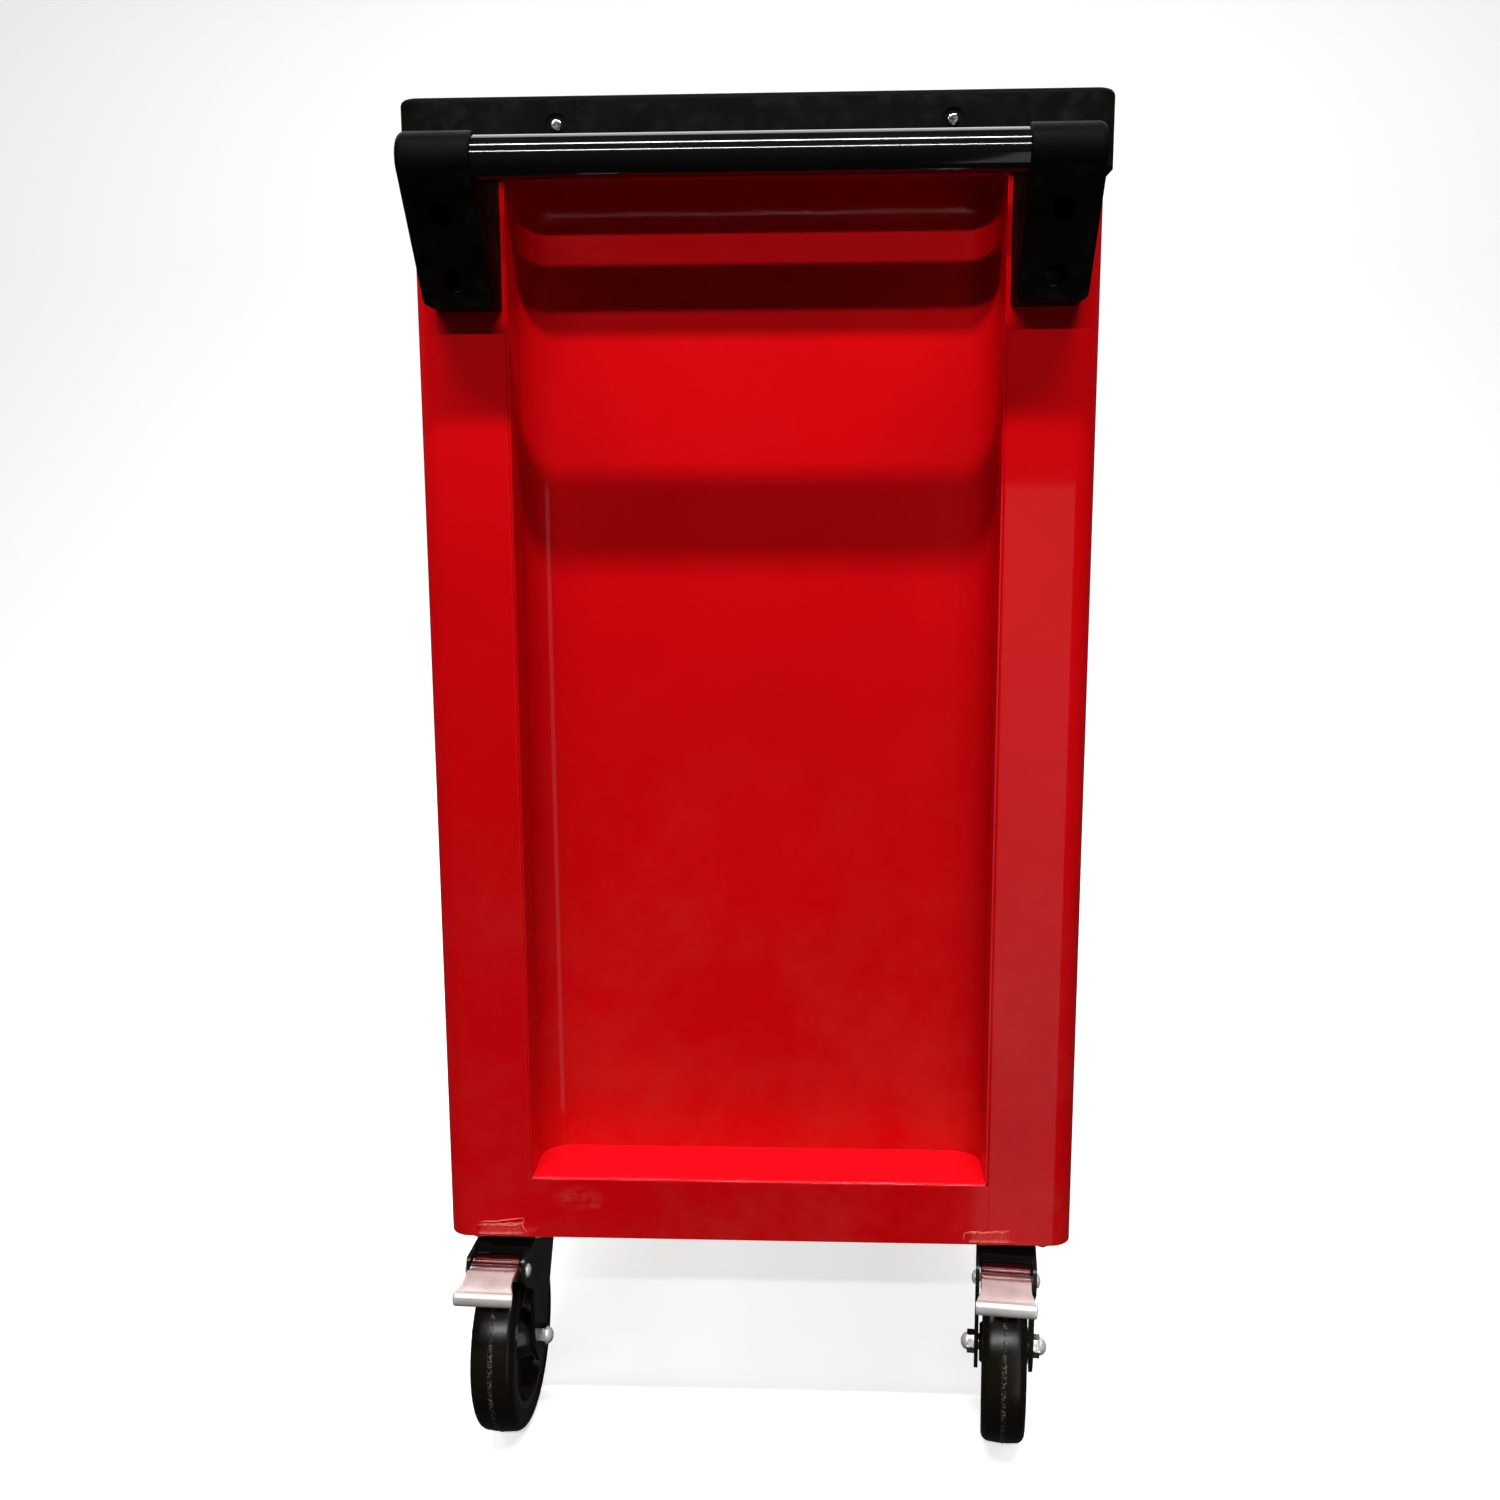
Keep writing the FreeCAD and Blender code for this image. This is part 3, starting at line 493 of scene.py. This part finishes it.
def make_pedal(side):
    joint = JOINTS["brake_press_" + side]
    place = wheel_place(joint)
    mesh = bmesh.new()
    rows = []
    for x, z, half in PAD_LINE:
        row = []
        for k in range(PAD_COLUMNS + 1):
            t = 2.0 * k / PAD_COLUMNS - 1.0
            # The pad is dished: its long edges stand a little proud.
            lift = 0.0
            if DISH_START <= x <= DISH_END:
                lift = DISH_LIFT * max(0.0, abs(t) - DISH_FLAT) / (1.0 - DISH_FLAT)
            row.append(mesh.verts.new((x * MM, t * half * MM, (z + lift) * MM)))
        rows.append(row)
    for a, b in zip(rows, rows[1:]):
        for k in range(PAD_COLUMNS):
            mesh.faces.new((a[k], a[k + 1], b[k + 1], b[k]))
    pad = finish_mesh("brake_pad_" + side, mesh, "chrome", joint["child"], place, 60.0)
    thick = pad.modifiers.new("sheet", "SOLIDIFY")
    thick.thickness = PLATE * MM
    thick.offset = -1.0
    smooth = pad.modifiers.new("smooth", "SUBSURF")
    smooth.levels = 2
    smooth.render_levels = 2
    pad.data.materials[0] = SATIN_PLATE
    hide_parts("brake_pedal_" + side)
    make_pedal_ears(side, joint, place)
    make_rivet(side, joint, place)


def make_pedal_ears(side, joint, place):
    """Side flanges round the rivet, and the brake tab over the tread."""
    mesh = bmesh.new()
    for y in EAR_SIDES:
        low = [mesh.verts.new((x * MM, y * MM, z * MM)) for x, z in EAR_OUTLINE]
        high = [mesh.verts.new((x * MM, (y + PLATE) * MM, z * MM)) for x, z in EAR_OUTLINE]
        mesh.faces.new(low)
        mesh.faces.new(high)
        count = len(EAR_OUTLINE)
        for i in range(count):
            j = (i + 1) % count
            mesh.faces.new((low[i], low[j], high[j], high[i]))
    box_between(mesh, TAB_LOW * MM, TAB_HIGH * MM)
    ears = finish_mesh("brake_ears_" + side, mesh, "chrome", joint["child"], place)
    bevelled(ears, 0.5 * MM)


def make_rivet(side, joint, place):
    """The pedal's rivet: a shank and two domed heads outside the fork."""
    mesh = bmesh.new()
    dome = [(RIVET_SHANK, AXIS_GAP), (RIVET_SHANK, 5.0 * MM),
            (RIVET_SHANK + 0.7 * MM, 4.9 * MM), (RIVET_SHANK + 1.6 * MM, 4.0 * MM),
            (RIVET_SHANK + 2.3 * MM, 2.3 * MM), (RIVET_SHANK + 2.6 * MM, AXIS_GAP)]
    lathe(mesh, dome, FINE_STEPS)
    lathe(mesh, [(-y, r) for y, r in dome[::-1]], FINE_STEPS)
    lathe(mesh, [(-RIVET_SHANK, AXIS_GAP), (RIVET_SHANK, AXIS_GAP),
                 (RIVET_SHANK, RIVET_RADIUS), (-RIVET_SHANK, RIVET_RADIUS)], FINE_STEPS)
    rivet = finish_mesh("brake_rivet_" + side, mesh, "chrome", joint["child"], place)
    rivet.data.materials[0] = CAP_PLATE


for side in ("front", "rear"):
    make_pedal(side)


# ------------------------------------------------------------------ axle caps
CAP_RADIUS = 6.4 * MM
CAP_BASE = 27.3 * MM         # from the wheel's middle
CAP_SINK = 1.0 * MM          # how far the cap reaches into the nut
CAP_FLATNESS = 0.75          # height of the dome, as a share of a half ball's


def make_axle_cap(name, joint, body):
    """Domed end of the axle nut and of the bolt head."""
    mesh = bmesh.new()
    for sign in (1, -1):
        dome = arc(0.0, 0.0, CAP_RADIUS, 0, 85, 8)
        foot = sign * (CAP_BASE - CAP_SINK)
        points = [(sign * (CAP_BASE + y * CAP_FLATNESS), max(r, AXIS_GAP)) for y, r in dome]
        lathe(mesh, [(foot, AXIS_GAP), (foot, CAP_RADIUS)] + points, FINE_STEPS)
    cap = finish_mesh(name, mesh, "chrome", body, wheel_place(joint))
    cap.data.materials[0] = CAP_PLATE


for wheel, joint_name in WHEELS.items():
    make_axle_cap("axle_cap_" + wheel, JOINTS[joint_name], JOINTS[joint_name]["parent"])


# ------------------------------------------------------------------ crinkled paint
def make_crinkle(name, node, y0, y1, seed):
    """Lifted, cracked paint along the foot of a post, above its caster."""
    rng = random.Random(seed)
    low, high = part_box(node)
    face_x = high.x
    z0 = low.z
    mesh = bmesh.new()
    columns, rows = 60, 10
    height = 11.0 * MM
    grid = []
    shift = rng.random() * 10.0
    for j in range(rows + 1):
        v = j / rows
        row = []
        for i in range(columns + 1):
            u = i / columns
            y = y0 + (y1 - y0) * u
            top = height * (0.72 + 0.22 * u + 0.10 * noise.noise(Vector((u * 7.0, shift, 0.0))))
            z = z0 + top * v
            ridge = math.exp(-((v - 0.93) / 0.07) ** 2) + 0.8 * math.exp(-((v - 0.12) / 0.10) ** 2)
            wave = noise.noise(Vector((u * 26.0, v * 5.0, shift)))
            fade = min(1.0, 8.0 * u, 8.0 * (1.0 - u))
            lift = (0.10 + 0.75 * ridge * (0.6 + 0.8 * wave) + 0.18 * abs(wave)) * fade
            row.append(mesh.verts.new((face_x + max(lift, 0.03) * MM, y, z)))
        grid.append(row)
    for a, b in zip(grid, grid[1:]):
        for i in range(columns):
            mesh.faces.new((a[i], a[i + 1], b[i + 1], b[i]))
    patch = finish_mesh(name, mesh, "red_paint", "cabinet", None, 60.0)
    thick = patch.modifiers.new("film", "SOLIDIFY")
    thick.thickness = 0.25 * MM
    thick.offset = -1.0


def make_ridges(name, lines, width, height):
    """Sharp folds of lifted paint along lines of (y, z) points on the end face."""
    low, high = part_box("post_front_handle_end")
    face_x = high.x - 0.05 * MM
    mesh = bmesh.new()
    for line in lines:
        rings = []
        for i, (y, z) in enumerate(line):
            before = Vector(line[max(i - 1, 0)])
            after = Vector(line[min(i + 1, len(line) - 1)])
            along = (after - before).normalized()
            across = Vector((-along.y, along.x)) * (width / 2)
            end = i in (0, len(line) - 1)
            peak = height * (0.25 if end else 1.0)
            ring = []
            for lift, side in ((0.0, -1.0), (peak, -0.2), (peak, 0.2), (0.0, 1.0)):
                ring.append(mesh.verts.new((face_x + lift * MM, (y + side * across.x) * MM,
                                            low.z + (z + side * across.y) * MM)))
            rings.append(ring)
        for a, b in zip(rings, rings[1:]):
            for k in range(4):
                mesh.faces.new((a[k], a[(k + 1) % 4], b[(k + 1) % 4], b[k]))
        mesh.faces.new(rings[0])
        mesh.faces.new(rings[-1][::-1])
    finish_mesh(name, mesh, "red_paint", "cabinet", None, 60.0)


# (y, height above the post's foot) in mm.
FRONT_FOLDS = [
    [(-205.5, 9.5), (-199.0, 10.6), (-192.0, 10.4), (-186.0, 11.6), (-178.0, 12.6), (-170.5, 13.3)],
    [(-170.5, 13.0), (-172.6, 9.0), (-171.4, 5.0), (-168.4, 1.6)],
    [(-192.0, 6.6), (-186.0, 7.8), (-180.0, 7.4), (-171.8, 8.8)],
    [(-205.0, 1.0), (-196.0, 0.9), (-184.0, 1.4), (-170.0, 1.1)],
]
REAR_FOLDS = [
    [(153.6, 1.0), (153.2, 4.5), (153.9, 7.6), (158.0, 8.7), (166.5, 9.0)],
    [(168.0, 5.2), (169.4, 8.3), (176.0, 9.0), (186.0, 9.8)],
    [(158.0, 0.9), (168.0, 1.3), (180.0, 0.9), (193.0, 1.1)],
]
make_ridges("paint_folds_front", FRONT_FOLDS, 1.3, 0.7)
make_ridges("paint_folds_rear", REAR_FOLDS, 1.2, 0.6)


front_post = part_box("post_front_handle_end")
rear_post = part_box("post_rear_handle_end")
make_crinkle("paint_crinkle_front", "post_front_handle_end",
             front_post[1].y - 42 * MM, front_post[1].y - 5 * MM, 3)
make_crinkle("paint_crinkle_rear", "post_rear_handle_end",
             rear_post[0].y - 14 * MM, rear_post[0].y + 18 * MM, 8)


# ------------------------------------------------------------------ filled seams
SEAM_OVER_RAIL = 2.5 * MM
SEAM_OVER_POST = 1.7 * MM
SEAM_DEPTH = (0.9 * MM, 0.10 * MM)     # back and front of the filler, behind the rail's face


def make_seams():
    """Paint that fills the grooves where the bottom rail meets the posts."""
    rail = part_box("end_bottom_rails")
    mesh = bmesh.new()
    for name, edge, inward in (("post_front_handle_end", 1, -1), ("post_rear_handle_end", 0, 1)):
        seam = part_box(name)[edge].y
        sides = sorted((seam - inward * SEAM_OVER_RAIL, seam + inward * SEAM_OVER_POST))
        box_between(mesh, Vector((rail[1].x - SEAM_DEPTH[0], sides[0], rail[0].z)),
                    Vector((rail[1].x - SEAM_DEPTH[1], sides[1], rail[1].z - 1.6 * MM)))
    finish_mesh("rail_seams", mesh, "red_paint", "cabinet")


make_seams()


# ------------------------------------------------------------------ stage
def make_stage():
    """Pale floor that curves up into a backdrop behind the cabinet."""
    mesh = bmesh.new()
    back, bend, top, half = -4.6, 1.6, 5.0, 7.0
    path = [(6.0, 0.0), (back + bend, 0.0)]
    steps = 16
    for k in range(1, steps + 1):
        a = math.pi / 2 * k / steps
        path.append((back + bend - bend * math.sin(a), bend - bend * math.cos(a)))
    path.append((back, top))
    rows = [[mesh.verts.new((x, y, z)) for y in (-half, half)] for x, z in path]
    for a, b in zip(rows, rows[1:]):
        mesh.faces.new((a[0], b[0], b[1], a[1]))
    data = bpy.data.meshes.new("studio_floor")
    mesh.to_mesh(data)
    mesh.free()
    data.shade_smooth()
    floor = bpy.data.objects.new("studio_floor", data)
    bpy.context.scene.collection.objects.link(floor)
    s = Shader("floor_paper", Roughness=0.9)
    s.colour(s.mix(s.noise(0.8, 2.0), rgb(0.78, 0.78, 0.78), rgb(0.82, 0.82, 0.82)))
    s.bsdf.inputs["Emission Color"].default_value = rgb(1.0, 1.0, 0.99)
    s.bsdf.inputs["Emission Strength"].default_value = 0.6
    data.materials.append(s.material)
    # The pale paper shows to the camera and stays out of the light on the cabinet.
    floor.visible_diffuse = False
    floor.visible_glossy = False


def area_light(name, place, turn, width, height, power):
    """A rectangular lamp at place, turned by a 4x4 matrix (metres and watts)."""
    data = bpy.data.lights.new(name, "AREA")
    data.shape = "RECTANGLE"
    data.size = width
    data.size_y = height
    data.energy = power
    light = bpy.data.objects.new(name, data)
    light.matrix_world = Matrix.Translation(Vector(place)) @ turn
    bpy.context.scene.collection.objects.link(light)
    return light


def strip_light(name, place, target, length, width, power):
    """A tube lamp whose length lies along Y."""
    aim = (Vector(target) - Vector(place)).normalized()
    side = Vector((0, 1, 0))
    top = side.cross(aim).normalized()
    turn = Matrix((side, top, -aim)).transposed().to_4x4()
    area_light(name, place, turn, length, width, power)


def panel_light(name, place, target, width, height, power):
    """A panel that faces its target."""
    aim = Vector(target) - Vector(place)
    turn = aim.to_track_quat("-Z", "Y").to_matrix().to_4x4()
    return area_light(name, place, turn, width, height, power)


def make_lights():
    """Two ceiling strips in front of the handle end, and soft fill."""
    low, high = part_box("handle_tube")
    tube = (low + high) / 2
    ceiling = 2.36
    target = (tube.x - 0.13, 0.0, 0.60)
    # Each strip's light falls past the handle tube at its own slope.
    for name, slope, shift, length, width, power in (
            ("strip_far", 0.46, -0.35, 2.2, 0.06, 60.0),
            ("strip_near", 1.69, 0.0, 1.8, 0.07, 52.0)):
        reach = (ceiling - tube.z) / slope
        strip_light(name, (tube.x + reach, shift, ceiling), target, length, width, power)
    strip_light("soft_top", (-1.9, 0.0, 3.2), (-1.9, 0.0, 0.0), 5.0, 3.0, 105.0)
    # A pale patch of room that shows as a sheen on the rear post.
    panel_light("sheen", (1.0, 0.37, 0.17), (0.3, 0.27, 0.17), 0.26, 1.10, 0.85)
    for name, side, power in (("side_fill", -1, 34.0), ("rear_fill", 1, 18.0)):
        fill = panel_light(name, (-0.45, side * 2.6, 1.5), (-0.15, side * 0.23, 0.5),
                           1.4, 1.2, power)
        fill.visible_glossy = False
    panel_light("far_fill", (-2.6, 0.0, 1.4), (-0.4, 0.0, 0.5), 1.2, 1.2, 10.0)
    world = bpy.data.worlds.new("studio")
    bpy.context.scene.world = world
    world.use_nodes = True
    tree = world.node_tree
    background = tree.nodes["Background"]
    background.inputs[0].default_value = rgb(1.0, 1.0, 1.0)
    background.inputs[1].default_value = 0.03
    bpy.context.scene.view_settings.view_transform = "Standard"


make_stage()
make_lights()
